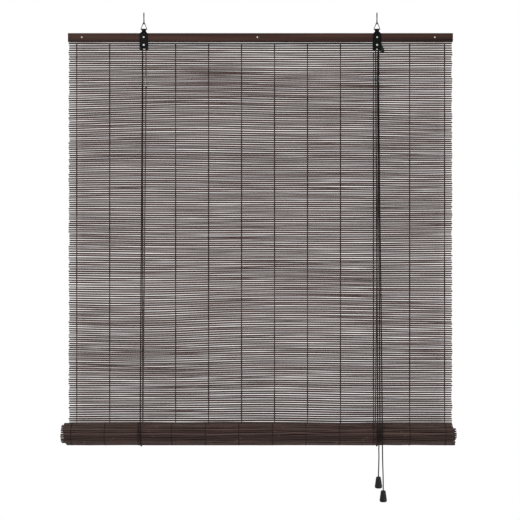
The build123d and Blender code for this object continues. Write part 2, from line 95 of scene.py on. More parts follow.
# %% [markdown]
# ## Camera
# The blind is looked at from straight ahead, from the middle of its height. A long lens keeps the
# reeds level from edge to edge, as it would in a product picture.

# %% Camera
camera_data = bpy.data.cameras.new("camera")
camera_data.lens = 77.0
camera_data.sensor_width = 36
camera_data.clip_end = 30
camera = bpy.data.objects.new("camera", camera_data)
camera.location = (-0.0011, -2.892, -0.6295)
camera.rotation_euler = (pi / 2, 0, 0)
scene.collection.objects.link(camera)
scene.camera = camera
print("camera at", [round(v, 4) for v in camera.location], "with lens", camera_data.lens)

# %% [markdown]
# ## From arrays to meshes
# Every new surface is worked out as one numpy array of points. Four helpers turn such an array
# into a mesh: two list the faces of a grid and of closed tubes, one gives a tube its UV map, and
# the last puts points, faces and the per-point values that the materials read into the mesh.

# %% Mesh helpers
rng = np.random.default_rng(7)


def grid_faces(rows, columns):
    """Faces of a tube's grid: corner (r, c) joins (r, c + 1), (r + 1, c + 1) and (r + 1, c), and
    the last column joins the first one again."""
    r, c = np.meshgrid(np.arange(rows - 1), np.arange(columns), indexing="ij")
    following = (c + 1) % columns
    near, far = r * columns, (r + 1) * columns
    return np.stack([near + c, near + following, far + following, far + c], -1).reshape(-1, 4)


def tube_faces(tubes, rows, columns):
    """Faces of several closed tubes whose points follow each other, with a cap at either end."""
    start = np.arange(tubes)[:, None, None] * rows * columns
    walls = (grid_faces(rows, columns)[None] + start).reshape(-1, 4).tolist()
    first = (np.arange(columns)[::-1] + start[:, 0]).tolist()
    last = (np.arange(columns) + (rows - 1) * columns + start[:, 0]).tolist()
    return walls + first + last


def tube_uv(along, columns):
    """UV of each face corner of a tube: u goes once round it, v is the distance along it in mm.
    The corners of the two caps are all at zero."""
    r, c = np.meshgrid(np.arange(len(along) - 1), np.arange(columns), indexing="ij")
    u = np.stack([c, c + 1, c + 1, c], -1) / columns
    v = np.stack([along[r], along[r], along[r + 1], along[r + 1]], -1) / mm
    walls = np.stack([u, v], -1).reshape(-1, 2)
    return np.vstack([walls, np.zeros((2 * columns, 2))])


def mesh_piece(name, points, faces, slot, body=None, values=None, uv=None):
    """Mesh object from points and faces; values are named numbers, one for each point."""
    mesh = bpy.data.meshes.new(name)
    mesh.from_pydata(np.asarray(points).reshape(-1, 3).tolist(), [], faces)
    for label, numbers in (values or {}).items():
        attribute = mesh.attributes.new(label, "FLOAT", "POINT")
        attribute.data.foreach_set("value", np.ravel(numbers).astype(np.float32))
    if uv is not None:
        layer = mesh.uv_layers.new(name="UVMap")
        layer.uv.foreach_set("vector", uv.astype(np.float32).ravel())
    mesh.polygons.foreach_set("use_smooth", np.full(len(mesh.polygons), True))
    mesh.update()
    piece = bpy.data.objects.new(name, mesh)
    scene.collection.objects.link(piece)
    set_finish(piece, slot)
    if body:
        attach(piece, body)
    return piece


# %% [markdown]
# ## Cords
# Each cord is a smooth line through given points, and a tube along that line. The line is
# a NURBS curve, because such a curve bends gently between its points, as a real cord does. The
# tube is a grid: one way runs along the cord, the other round it, and its UV map lets a braid
# follow the cord wherever it goes. The braid stands proud of a smooth cord, so the tube is a little
# thicker than the frame's cord, and more so in front, where the cords have to read as dark bands
# from afar. One table holds what differs between the left and the right cord.

# %% Places of the cords
bracket_x, roller_reach = 303.0 * mm, 3.7 * mm
lock_x = bracket_x + roller_reach
cord_end_z = -74.0 * mm
roll_y, roll_z = -25.5 * mm, -1077.0 * mm
touch_y = -57.05 * mm
gap = 0.1 * mm
places_in_mm = {
    "left": dict(loop_x=-306.7, cord_y=1.5, touch_z=-1075.16, eye_x=-298.5, link_top=-151.0,
                 tail_x=310.8, tassel_x=313.0, tassel_top=-1217.0, lean=-0.2,
                 sway=(-0.3, -0.4, 0.4)),
    "right": dict(loop_x=299.3, cord_y=-1.5, touch_z=-1075.25, eye_x=309.0, link_top=-145.0,
                  tail_x=304.8, tassel_x=300.8, tassel_top=-1182.0, lean=-2.6,
                  sway=(-2.4, -0.6, -0.3)),
}
sides = {side: {key: np.multiply(number, mm) for key, number in place.items()}
         for side, place in places_in_mm.items()}
print("lowest points of the tails in mm:", [at["tassel_top"] for at in places_in_mm.values()])


# %% Smooth line of a cord
def smooth_line(points):
    """Points along a NURBS curve of order 3 that has the given points as its control points."""
    curve = bpy.data.curves.new("route", "CURVE")
    curve.dimensions = "3D"
    spline = curve.splines.new("NURBS")
    spline.points.add(len(points) - 1)
    spline.points.foreach_set("co", np.hstack([points, np.ones((len(points), 1))]).ravel())
    spline.order_u = 3
    spline.use_endpoint_u = True
    spline.resolution_u = 24
    route = bpy.data.objects.new("route", curve)
    line = bpy.data.meshes.new_from_object(route)
    found = np.empty(len(line.vertices) * 3)
    line.vertices.foreach_get("co", found)
    bpy.data.objects.remove(route)
    bpy.data.curves.remove(curve)
    bpy.data.meshes.remove(line)
    return found.reshape(-1, 3)


def even_line(line, spacing):
    """The same line with its points an even distance apart, and each point's distance along it."""
    steps = np.linalg.norm(np.diff(line, axis=0), axis=1)
    along = np.concatenate([[0.0], np.cumsum(steps)])
    wanted = np.linspace(0.0, along[-1], max(3, round(along[-1] / spacing) + 1))
    return np.stack([np.interp(wanted, along, line[:, k]) for k in range(3)], -1), wanted


# %% Tube of a cord
cord_radius, front_cord_radius = 1.34 * mm, 1.5 * mm
cord_columns = 10


def rings(line, radius, columns, upright):
    """Circle of points round each point of a line, square to the line's direction there."""
    ahead = np.gradient(line, axis=-2)
    ahead /= np.linalg.norm(ahead, axis=-1, keepdims=True)
    side = np.cross(ahead, upright)
    side /= np.linalg.norm(side, axis=-1, keepdims=True)
    turn = np.arange(columns) * 2 * pi / columns
    ring = np.cos(turn)[:, None] * side[..., None, :]
    ring = ring + np.sin(turn)[:, None] * np.cross(ahead, side)[..., None, :]
    return line[..., None, :] + radius * ring


def cord_tube(name, points, node, body, radius=cord_radius, upright=(1, 0, 0), spacing=2.0 * mm):
    """Braided cord along the smooth line through points, in place of the frame's plain node."""
    line, along = even_line(smooth_line(np.array(points)), spacing)
    surface = rings(line, radius, cord_columns, upright)
    faces = tube_faces(1, len(line), cord_columns)
    uv = tube_uv(along, cord_columns)
    piece = mesh_piece(name, surface, faces, "cord", body, uv=uv)
    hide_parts(node)
    print(name, "length in mm:", round(along[-1] / mm, 1))
    return piece, line


def straight(start, end, sway=(0.0, 0.0, 0.0)):
    """Points of a run from start to end at its quarters, each moved aside along X by its sway."""
    shares = np.array([0.0, 0.25, 0.5, 0.75, 1.0])[:, None]
    points = np.array(start) + shares * (np.array(end) - np.array(start))
    points[1:4, 0] += sway
    return points


def shorten(piece):
    """Gives an upright run a mesh of its own."""
    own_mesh(piece)


# %% Front runs, and loops under the roll
loop_radius, loop_rear_y = 31.6 * mm, 9.0 * mm
for side, at in sides.items():
    x, touch_z = at["loop_x"], at["touch_z"]
    top_z = cord_end_z - gap
    front = straight((x, at["cord_y"], top_z), (x, touch_y, touch_z))
    piece, line = cord_tube(f"{side}_front_cord", front, f"{side}_front_run", "headrail",
                            front_cord_radius)
    shorten(piece)

    corner = loop_radius * np.tan(pi / 8)
    low_z = roll_z - loop_radius
    rear_centre_y = loop_rear_y - loop_radius
    loop = [
        (x, touch_y, touch_z),
        (x, roll_y - loop_radius, roll_z - corner),
        (x, roll_y - corner, low_z),
        (x, rear_centre_y + corner, low_z),
        (x, loop_rear_y, roll_z - corner),
        (x, loop_rear_y, roll_z),
    ]
    cord_tube(f"{side}_loop_cord", loop, f"{side}_roll_loop", "sling")

# %% Rear cords: from the screw eyes to the links, and from the links to the loops
eye_y, eye_cord_top_z = 10.3 * mm, -73.0 * mm
link_length, cord_in_link = 26.0 * mm, 2.0 * mm
knot_height = 4.6 * mm
for side, at in sides.items():
    eye_x, link_top = at["eye_x"], at["link_top"]
    upper = straight((eye_x, eye_y, eye_cord_top_z), (eye_x, eye_y, link_top + cord_in_link))
    cord_tube(f"{side}_eye_cord", upper, f"{side}_rear_top", "headrail")

    run_top = link_top - link_length - knot_height - gap
    run_end = roll_z + gap
    rear = straight((eye_x, eye_y, run_top), (at["loop_x"], loop_rear_y, run_end))
    piece, line = cord_tube(f"{side}_rear_cord", rear, f"{side}_rear_run", "headrail")
    shorten(piece)

# %% Tails: from the lock to the roll, and from the roll to the tassels
upright_drop, lean_drop = 6.0 * mm, 24.0 * mm
for side, at in sides.items():
    start = (lock_x, at["cord_y"], cord_end_z - gap)
    end = (at["tail_x"], touch_y, at["touch_z"])
    above = straight(start, end, at["sway"])
    bends = above[0] + np.array([(0, 0, -upright_drop), (at["lean"], 0, -lean_drop)])
    above = np.insert(above, 1, bends, 0)
    piece, line = cord_tube(f"{side}_tail_above", above, f"{side}_tail_upper", "headrail",
                            front_cord_radius)
    shorten(piece)

    start = (at["tail_x"], touch_y, at["touch_z"] - 2 * gap)
    end = (at["tassel_x"], touch_y, at["tassel_top"] + gap)
    below = straight(start, end, at["sway"])
    piece, line = cord_tube(f"{side}_tail_below", below, f"{side}_tail_lower", None,
                            front_cord_radius)
    on_cord = [frame["nodes"][f"tassel_{side}"], frame["nodes"][f"{side}_tail_end"]]
    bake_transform(piece)

# %% Cords over the rollers
over_roller_z, straight_after = -67.3 * mm, 20.0 * mm
left, right = -bracket_x - roller_reach, bracket_x + roller_reach
inner_left, inner_right = -bracket_x + roller_reach, bracket_x - roller_reach
y = sides["left"]["cord_y"]
across = [(left, y, cord_end_z), (left, y, over_roller_z), (inner_left, y, over_roller_z)]
across += [(inner_left + straight_after, y, over_roller_z)]
across += [(inner_right - straight_after, y, over_roller_z)]
across += [(inner_right, y, over_roller_z), (right, y, over_roller_z), (right, y, cord_end_z)]
cord_tube("cross_cord_braid", across, "cross_cord", "headrail", upright=(0, 1, 0))

y = sides["right"]["cord_y"]
over = [(inner_right, y, cord_end_z), (inner_right, y, over_roller_z)]
over += [(right, y, over_roller_z), (right, y, cord_end_z)]
cord_tube("roller_cord_braid", over, "right_roller_cord", "headrail", upright=(0, 1, 0),
          spacing=0.8 * mm)

# %% [markdown]
# ## Knots
# The rear cords end in overhand knots, at the screw eyes and at the breakaway links. An overhand
# knot pulled tight is close to a trefoil, the simplest knotted ring: a line that goes twice round
# the middle while it swings out and in, and up and down, three times. So a short thick tube along
# a trefoil stands for it, squeezed to the height of the real knot.

# %% Knots
knot_strand = 1.0 * mm
trefoil_size, trefoil_depth = 0.47 * mm, 1.3 * mm
knot_rows, knot_columns = 48, 8
knot_upright = (0.1, 0.2, 1.0)
eye_knot_top_z = -69.4 * mm

turn = np.linspace(0, 2 * pi, knot_rows, endpoint=False)
spread = (2 + np.cos(3 * turn)) * trefoil_size
trefoil = np.stack(
    [spread * np.cos(2 * turn), spread * np.sin(2 * turn), np.sin(3 * turn) * trefoil_depth], -1
)
knot_places = []
for at in sides.values():
    tops = (eye_knot_top_z, at["link_top"] + knot_height, at["link_top"] - link_length)
    knot_places += [(at["eye_x"], eye_y, top - knot_height / 2) for top in tops]
closed = np.concatenate([trefoil[-1:], trefoil, trefoil[:1]])
ring_points = rings(closed, knot_strand, knot_columns, knot_upright)[1:-1]
knot_points = np.array(knot_places)[:, None, None] + ring_points
ring = grid_faces(knot_rows + 1, knot_columns) % (knot_rows * knot_columns)
start = np.arange(len(knot_places))[:, None, None] * knot_rows * knot_columns
knot_faces = (ring + start).reshape(-1, 4).tolist()
knots = mesh_piece("overhand_knots", knot_points, knot_faces, "cord", "headrail")
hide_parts("cord_knots")
print("knots:", len(knot_places))

# %% [markdown]
# ## Reeds
# The sheet is made of split bamboo reeds, and no two are alike: each has its own height, tone and
# bow, and its ends are cut a little short or long. The reeds are therefore separate rods, all made
# at once from one array with an axis for the reed, one for the stations along it and one for the
# points round it. Blurred random numbers give the bows: the part shared by neighbours makes the
# sheet drift, and the part of each reed alone opens and closes the bright gaps between them. How
# far a blur reaches is given in reeds and in stations, and a reach of one_reed leaves each reed
# on its own.

# %% Random waves
one_reed = 0.1


def blurred(rows, columns, row_blur, column_blur):
    """Random field, averaged along rows and columns with bell-shaped weights, with spread 1."""
    field = rng.standard_normal((rows, columns))
    for axis, blur in ((0, row_blur), (1, column_blur)):
        reach = np.arange(-int(3 * blur) - 1, int(3 * blur) + 2)
        weights = np.exp(-0.5 * (reach / blur) ** 2)
        shifted = [weight * np.roll(field, step, axis) for step, weight in zip(reach, weights)]
        field = np.sum(shifted, axis=0)
    return field / field.std()


# %% Rods
reed_sides = 5


def rods(name, line, depth_way, half_depth, half_height, tone, body):
    """Reeds as tubes: round each station goes a five-sided oval, deep along depth_way and high
    along the direction square to it and to the reed."""
    reeds, stations = line.shape[:2]
    turn = np.arange(reed_sides) * 2 * pi / reed_sides
    height_way = np.cross((1.0, 0.0, 0.0), depth_way)
    deep = half_depth[..., None] * depth_way[:, None]
    high = half_height[..., None] * height_way[:, None]
    ring = np.cos(turn)[:, None] * deep[..., None, :]
    ring = ring + np.sin(turn)[:, None] * high[..., None, :]
    points = line[:, :, None] + ring
    tones = np.broadcast_to(tone[:, None, None], points.shape[:3])
    faces = tube_faces(reeds, stations, reed_sides)
    return mesh_piece(name, points, faces, "bamboo", body, values={"tone": tones})


# %% Lines of the hanging reeds
reeds_hanging = 185
reed_pitch = 5.6 * mm
reed_middle = 2.2 * mm
mat_half_width = 499.0 * mm
mat_top_z = -41.0 * mm
mat_y = 6.1 * mm
stations = 29
shortest, longest = -1.6, 1.2
drift_reach, drift_size = (13.0, 3.5), 2.0 * mm
own_reach, own_size, own_limit = (one_reed, 1.1), 0.2 * mm, 0.5 * mm
bow_reach, bow_size, bow_limit = (one_reed, 3.5), 0.1 * mm, 1.5
held_reeds, easing_reeds = 3, 12

index = np.arange(reeds_hanging)
share = np.linspace(-1, 1, stations)
ends = mat_half_width + rng.uniform(shortest, longest, (reeds_hanging, 2)) * mm
reed_x = share * np.where(share < 0, ends[:, :1], ends[:, 1:])
drift = blurred(reeds_hanging, stations, *drift_reach) * drift_size
own = blurred(reeds_hanging, stations, *own_reach) * own_size
own = np.clip(own, -own_limit, own_limit)
free = np.clip((index - held_reeds) / easing_reeds, 0, 1)[:, None]
reed_z = mat_top_z - reed_middle - index[:, None] * reed_pitch + free * drift + own
bow = np.clip(blurred(reeds_hanging, stations, *bow_reach), -bow_limit, bow_limit)
reed_line = np.stack([reed_x, mat_y + bow * bow_size, reed_z], -1)
print("hanging sheet in mm:", 2 * mat_half_width / mm, "by", reeds_hanging * reed_pitch / mm)

# %% Thickness and tone of the hanging reeds
least_half_height, most_half_height, half_thickness = 2.33, 2.55, 0.9 * mm
thin_reach, thin_from, thin_limit, thin_size = (one_reed, 0.8), 0.9, 1.4, 0.3 * mm
uneven_reach, unevenness = (one_reed, 1.2), 0.025
cut_end = 0.85
mean_tone, tone_spread = 0.85, 0.14

thin = np.clip(blurred(reeds_hanging, stations, *thin_reach) - thin_from, 0, thin_limit)
own_height = rng.uniform(least_half_height, most_half_height, reeds_hanging)[:, None] * mm
uneven = 1 + unevenness * blurred(reeds_hanging, stations, *uneven_reach)
half_height = (own_height - thin_size * thin) * uneven
half_depth = np.full((reeds_hanging, stations), half_thickness)
for measure in (half_height, half_depth):
    measure[:, [0, -1]] *= cut_end
reed_tone = np.clip(mean_tone + tone_spread * rng.standard_normal(reeds_hanging), 0, 1)
print("mean height of a reed in mm:", round(2 * half_height.mean() / mm, 2))

# %% [markdown]
# ## Two parts of the sheet
# On the real blind the roll takes up the sheet as it is raised. Here the sheet is split where the
# raised roll ends, into an upper and a lower part.

# %% The hanging sheet, in two parts
raised_z = -217.0 * mm
split = int((mat_top_z - raised_z) / reed_pitch)
facing = np.tile((0.0, -1.0, 0.0), (reeds_hanging, 1))
mats = []
for name, part in (("upper_reeds", slice(0, split)), ("lower_reeds", slice(split, None))):
    mats.append(rods(name, reed_line[part], facing[part], half_depth[part], half_height[part],
                     reed_tone[part], "headrail"))
    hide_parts("reed_mat")
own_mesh(mats[1])
print("reeds above and below the split:", split, reeds_hanging - split)

# %% [markdown]
# ## Warp threads
# Twelve pairs of threads hold the reeds. The two threads of a pair twist round each other between
# the reeds, and at each reed one is in front and the other behind. Seen from the end this is a
# circle that is run through once every two reeds, so each thread is a cosine in depth and a sine
# sideways, and its partner is half a turn behind. A thread is drawn tight over the reeds, which
# presses it flat, so its tube is made wider than it is deep.

# %% Twisted pairs of threads
thread_radius, thread_flatness = 0.6 * mm, 1.5
thread_swing, thread_side = 0.88 * mm, 0.82 * mm
thread_sides, steps_per_reed = 4, 3


def twist(name, x, count, first, way_in, body):
    """Pairs of twisted threads: reed number u runs from first on, way_in(u) gives the middle of
    the sheet there and its depth direction, and the swing is a cosine of pi times u."""
    u = first + np.arange(count * steps_per_reed + 1) / steps_per_reed
    middle, deep = way_in(u)
    partner = np.array([1.0, -1.0])[None, :, None]
    swing = partner * thread_swing * np.cos(pi * u)
    aside = x[:, None, None] + partner * thread_side * np.sin(pi * u)
    line = middle + swing[..., None] * deep
    line = np.broadcast_to(line, aside.shape + (3,)).copy()
    line[..., 0] = aside
    line = line.reshape(-1, len(u), 3)
    points = rings(line, thread_radius, thread_sides, (1, 0, 0))
    middle_x = line[..., None, 0]
    points[..., 0] = middle_x + thread_flatness * (points[..., 0] - middle_x)
    faces = tube_faces(len(line), len(u), thread_sides)
    piece = mesh_piece(name, points, faces, "thread", body)
    print(name, "pairs:", len(x), "reeds held:", count)
    return piece


# %% Threads of the hanging sheet
first_x, thread_pitch, evenly_spaced, last_two_x = -478.6, 85.9, 10, [388.9, 479.8]
strap_cover = 12.0 * mm
below_rail, below_strap = 4, 8


def hanging_way(u):
    """Middle of the hanging sheet at reed number u, and its depth direction."""
    z = mat_top_z - reed_middle - u * reed_pitch
    return np.stack([0 * u, 0 * u + mat_y, z], -1), np.array([0.0, 1.0, 0.0])


thread_x = np.append(first_x + thread_pitch * np.arange(evenly_spaced), last_two_x) * mm
under_strap = np.abs(np.abs(thread_x) - bracket_x) < strap_cover
threads = [
    twist("upper_threads", thread_x[~under_strap], split - below_rail, below_rail, hanging_way,
          "headrail"),
    twist("strap_threads", thread_x[under_strap], split - below_strap, below_strap, hanging_way,
          "headrail"),
    twist("lower_threads", thread_x, reeds_hanging - split - 1, split, hanging_way, "headrail"),
]
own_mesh(threads[2])
for piece in threads:
    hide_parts("warp_threads")

# %% [markdown]
# ## The roll
# The spare sheet is wound round the bottom slat in a spiral. It is the same sheet, so the reeds
# keep their pitch along the spiral, and each turn lies a little to one side of the next, as it
# does when a blind is rolled by hand. The first reeds of the outer turn have slipped further, so
# the roll's ends slant. The lift cords pinch the outer turns where they pass, and the reeds get
# more stations there, so that they can bend over a few millimetres.

# %% Spiral of the roll
roll_radius = 30.0 * mm
half_reed = 1.0 * mm
turn_step = 4.2 * mm
turns = 4


def spiral_radius(angle):
    """Even from rear to front over the first half turn, then smaller by one step in each turn."""
    wound = angle / (2 * pi)
    wound = np.where(wound < 1, np.maximum(0, 2 * wound - 1), wound)
    return roll_radius - half_reed - turn_step * wound


angles = [0.0]
while angles[-1] < 2 * pi * turns:
    angles.append(angles[-1] + reed_pitch / float(spiral_radius(angles[-1])))
angles = np.array(angles[:-1])
rolled = len(angles)
wound = angles / (2 * pi)
print("reeds in the roll:", rolled)

# %% Stations along the rolled reeds
turn_shift = np.array([-6.0, -12.0, -3.0, 4.0]) * mm
slip, slip_at, slip_over = 7.0 * mm, 0.3, 0.17
own_shift, own_end = 0.5 * mm, 0.8 * mm
pinch_x = np.array([-306.7, 299.3, 308.0]) * mm
near_pinch = np.array([-10, -4, 0, 4, 10]) * mm
even_stations, pinch_room = 35, 20 * mm

shift = turn_shift[wound.astype(int)] + rng.uniform(-own_shift, own_shift, rolled)
shift += slip * np.exp(-(((wound - slip_at) / slip_over) ** 2))
even_x = np.linspace(-mat_half_width, mat_half_width, even_stations)
clear_of_pinch = np.abs(even_x[:, None] - pinch_x).min(1) > pinch_room
roll_x = np.sort(np.concatenate([even_x[clear_of_pinch], *(near_pinch + x for x in pinch_x)]))
roll_stations = len(roll_x)
line_x = roll_x[None, :] + shift[:, None]
line_x[:, [0, -1]] += rng.uniform(-own_end, own_end, (rolled, 2))
print("stations along a rolled reed:", roll_stations)

# %% Lines of the rolled reeds
pinch_size, pinch_reach, pinch_fade = 2.8 * mm, 6 * mm, 0.6
pinch_from, pinch_over = 0.42, 0.4
dent_reach, dent_size = (one_reed, 0.8), 0.3 * mm
lean_reach, lean_size = (0.7, 0.8), 0.75 * mm

near = np.exp(-(((line_x[..., None] - pinch_x) / pinch_reach) ** 2)).max(-1)
upper_front = np.clip(np.sin((wound % 1 - pinch_from) / pinch_over * pi), 0, 1)
pinch_depth = pinch_size * near * upper_front[:, None] * (pinch_fade ** wound)[:, None]
dent = np.abs(blurred(rolled, roll_stations, *dent_reach)) * dent_size
radius = spiral_radius(angles)[:, None] - pinch_depth - dent
lean = angles[:, None] + blurred(rolled, roll_stations, *lean_reach) * lean_size / radius
roll_line = np.stack(
    [line_x, roll_y + radius * np.cos(lean), roll_z - radius * np.sin(lean)], -1
)
print("deepest pinch in mm:", round(pinch_depth.max() / mm, 2))

# %% Rolled reeds
least_half_height, most_half_height, half_thickness = 2.35, 2.75, 0.95 * mm
uneven_reach, unevenness = (one_reed, 0.8), 0.05
mean_tone, tone_spread = 0.42, 0.26

outward = np.stack([0 * angles, np.cos(angles), -np.sin(angles)], -1)
own_height = rng.uniform(least_half_height, most_half_height, rolled)[:, None] * mm
uneven = 1 + unevenness * blurred(rolled, roll_stations, *uneven_reach)
roll_height = own_height * uneven
roll_depth = np.full((rolled, roll_stations), half_thickness)
roll_tone = np.clip(mean_tone + tone_spread * rng.standard_normal(rolled), 0, 1)
roll = rods("rolled_reeds", roll_line, outward, roll_depth, roll_height, roll_tone, "roll")
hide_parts("mat_roll")


# %% Threads round the roll
def rolled_way(u):
    """Middle of the rolled sheet at reed number u, and the outward direction there."""
    angle = np.interp(u, np.arange(rolled), angles)
    radius = spiral_radius(angle)
    deep = np.stack([0 * u, np.cos(angle), -np.sin(angle)], -1)
    return np.array([0.0, roll_y, roll_z]) + radius[:, None] * deep, deep


outer_reeds = 42
twist("roll_threads", thread_x + turn_shift[0], outer_reeds, 0.0, rolled_way, "roll")

# %% [markdown]
# ## Screws and hook threads
# The frame's screws are plain domes. A real one has a cross pressed into its head, and it catches
# the light, so the heads are remade as a height above the batten over a round grid: a dome, less
# a cross that is deep in the middle. The hooks get the coarse thread that bites into the ceiling,
# a sleeve whose radius rises and falls along a helix.

# %% Screw heads with a cross
head_radius, head_height = 2.5 * mm, 1.35 * mm
head_rings, head_columns = 18, 64
head_roundness, crowding, hub = 0.6, 0.8, 0.004
cross_depth = 0.75 * mm
arm_side, arm_end = (0.22 * mm, 0.42 * mm), (1.25 * mm, 1.6 * mm)
shank_radius, shank_tip = 1.5 * mm, 0.01 * mm
rail_z = -51.0 * mm


def ramp(value, low, high):
    """Smooth step from 0 at low to 1 at high."""
    share = np.clip((value - low) / (high - low), 0, 1)
    return share * share * (3 - 2 * share)


def screw_points(x, face_y, shank, turned):
    """Points of one screw: rings of the head from its rim inwards, and before them the shank.
    The head's height is a dome's, less a cross with sloping walls."""
    turn = np.arange(head_columns) * 2 * pi / head_columns
    radius = np.array([shank_tip, shank_radius, shank_radius])[:, None]
    depth = np.array([shank, shank, 0.0])[:, None] + 0 * turn
    body = np.stack([x + radius * np.cos(turn), face_y + depth, rail_z + radius * np.sin(turn)], -1)

    share = np.linspace(1, 0.0, head_rings) ** crowding
    share[-1] = hub
    rho, theta = np.meshgrid(share * head_radius, turn, indexing="ij")
    dome = head_height * (1 - (rho / head_radius) ** 2) ** head_roundness
    u, v = np.abs(rho * np.cos(theta - turned)), np.abs(rho * np.sin(theta - turned))
    arm = 1 - ramp(np.minimum(u, v), *arm_side)
    arm *= 1 - ramp(np.maximum(u, v), *arm_end)
    out = face_y - (dome - cross_depth * arm)
    head = np.stack([x + rho * np.cos(theta), out, rail_z + rho * np.sin(theta)], -1)
    return np.concatenate([body, head])


def screw_piece(name, places, node):
    """Screws at the given places, in one mesh, instead of the frame's plain ones."""
    points = np.stack([screw_points(*place) for place in places])
    faces = tube_faces(len(places), points.shape[1], points.shape[2])
    piece = mesh_piece(name, points, faces, "bright_steel", "headrail")
    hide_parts(node)
    print(name, "screws:", len(places))


# %% Screws of the rail and the straps
rail_screw_x, rail_shank, batten_front_y = (-464.0, -8.0, 453.0), 13.4 * mm, -3.9 * mm
strap_screw_x, strap_shank, strap_front_y = (-303.0, 303.0), 7.2 * mm, -5.1 * mm
turned = rng.uniform(0, pi / 2, 5)
rail_places = [(x * mm, batten_front_y, rail_shank, t) for x, t in zip(rail_screw_x, turned)]
strap_places = [(x * mm, strap_front_y, strap_shank, t)
                for x, t in zip(strap_screw_x, turned[3:])]
screw_piece("rail_cross_screws", rail_places, "rail_screws")
screw_piece("strap_cross_screws", strap_places, "strap_screws")

# %% Thread of the ceiling hooks
hook_pitch, hook_rows, hook_columns = 1.7 * mm, 85, 24
foot_z, full_z, taper_z, tip_from_z, tip_z = np.array([1.0, 2.4, 10.0, 11.0, 13.0]) * mm
core_radius, tip_radius = 1.52 * mm, 1.15 * mm
ridge_height, ridge_half_width, lost_at_tip = 0.5 * mm, 0.28, 0.55

z = np.linspace(foot_z, tip_z, hook_rows)
turn = np.arange(hook_columns) * 2 * pi / hook_columns
phase = (z[:, None] / hook_pitch - turn[None] / (2 * pi)) % 1
ridge = np.clip(1 - np.abs(phase - 0.5) / ridge_half_width, 0, 1)
fade = ramp(z, foot_z, full_z) * (1 - ramp(z, taper_z, tip_z) * lost_at_tip)
core = np.interp(z, [tip_from_z, tip_z], [core_radius, tip_radius])
around = core[:, None] + ridge_height * ridge * fade[:, None]
thread = np.stack([around * np.cos(turn), around * np.sin(turn), z[:, None] + 0 * around], -1)
both = np.stack([thread + np.array([x, 0, 0]) for x in (-bracket_x, bracket_x)])
mesh_piece("hook_threads", both, tube_faces(2, hook_rows, hook_columns), "wire", "hangers")
print("turns of thread on a hook:", round((tip_z - foot_z) / hook_pitch, 1))

# %% [markdown]
# ## Node helpers
# All finishes are made of nodes, worked out from the place on the piece. One helper adds a node
# and joins its inputs, a few others add the nodes that are needed most, and the last ones start
# and end a group, the reusable part of a material. What more than one finish needs is such a
# group: wood fibre, braid, fine wear and mottle.


# %% Helpers for nodes
def srgb(red, green, blue):
    """Linear colour of one given in 8-bit steps, by the usual curve of screens."""
    share = np.array([red, green, blue]) / 255
    linear = np.where(share <= 0.04045, share / 12.92, ((share + 0.055) / 1.055) ** 2.4)
    return (*linear.tolist(), 1.0)


def add(tree, kind, inputs=None, **options):
    """Adds a node, sets its options, and sets or links its inputs by name or number."""
    node = tree.nodes.new(kind)
    for option, value in options.items():
        setattr(node, option, value)
    for label, value in (inputs or {}).items():
        if isinstance(value, bpy.types.NodeSocket):
            tree.links.new(value, node.inputs[label])
        else:
            node.inputs[label].default_value = value
    return node


def sum_of(tree, operation, first, second=0.0):
    """Result of one sum on one or two numbers or sockets."""
    return add(tree, "ShaderNodeMath", {0: first, 1: second}, operation=operation).outputs[0]


def between(tree, value, low, high, start=0.0, end=1.0, **options):
    """Number from start to end as value goes from low to high."""
    inputs = {0: value, 1: low, 2: high, 3: start, 4: end}
    return add(tree, "ShaderNodeMapRange", inputs, **options).outputs[0]


def span(tree, value, start=0.0, end=1.0):
    """Number from start to end as value goes from 0.25 to 0.75, the usual reach of noise."""
    return between(tree, value, 0.25, 0.75, start, end)


def blend_colour(tree, factor, first, second, how="MIX"):
    """Colour between first and second."""
    inputs = {0: factor, 6: first, 7: second}
    return add(tree, "ShaderNodeMix", inputs, data_type="RGBA", blend_type=how).outputs[2]


def noise(tree, place, scale, detail, **more):
    """Noise at a place, with the given scale and detail; a seed W makes it another noise."""
    inputs = {"Vector": place, "Scale": scale, "Detail": detail, **more}
    dimensions = "4D" if "W" in more else "3D"
    return add(tree, "ShaderNodeTexNoise", inputs, noise_dimensions=dimensions).outputs[0]


# %% Helpers for groups
def new_group(name, inputs, outputs):
    """Starts a shader group with number or vector sockets, and returns it with its two ends."""
    group = bpy.data.node_groups.new(name, "ShaderNodeTree")
    for label, value in inputs.items():
        kind = "NodeSocketVector" if value is None else "NodeSocketFloat"
        socket = group.interface.new_socket(label, in_out="INPUT", socket_type=kind)
        if value is not None:
            socket.default_value = value
    for label in outputs:
        group.interface.new_socket(label, in_out="OUTPUT", socket_type="NodeSocketFloat")
    print("group", name, "puts out", outputs)
    given = group.nodes.new("NodeGroupInput").outputs
    return group, given, group.nodes.new("NodeGroupOutput").inputs


def use(tree, group, inputs):
    """Places a group in a material and returns its outputs."""
    return add(tree, "ShaderNodeGroup", inputs, node_tree=group).outputs


# %% Group: wood fibre
tree, given, result = new_group(
    "wood_fibre", {"Place": None, "Along": 9.0, "Across": 900.0, "Seed": 0.0}, ["Fibre", "Figure"]
)
fibre_group = tree
ways = {0: given["Along"], 1: given["Across"], 2: given["Across"]}
stretch = add(tree, "ShaderNodeCombineXYZ", ways).outputs[0]
place = add(tree, "ShaderNodeVectorMath", {0: given["Place"], 1: stretch}, operation="MULTIPLY")
place = place.outputs[0]
fine = noise(tree, place, 1.0, 4.0, W=given["Seed"], Roughness=0.6)
broad = noise(tree, place, 0.22, 2.0, W=given["Seed"])
tree.links.new(fine, result["Fibre"])
tree.links.new(broad, result["Figure"])

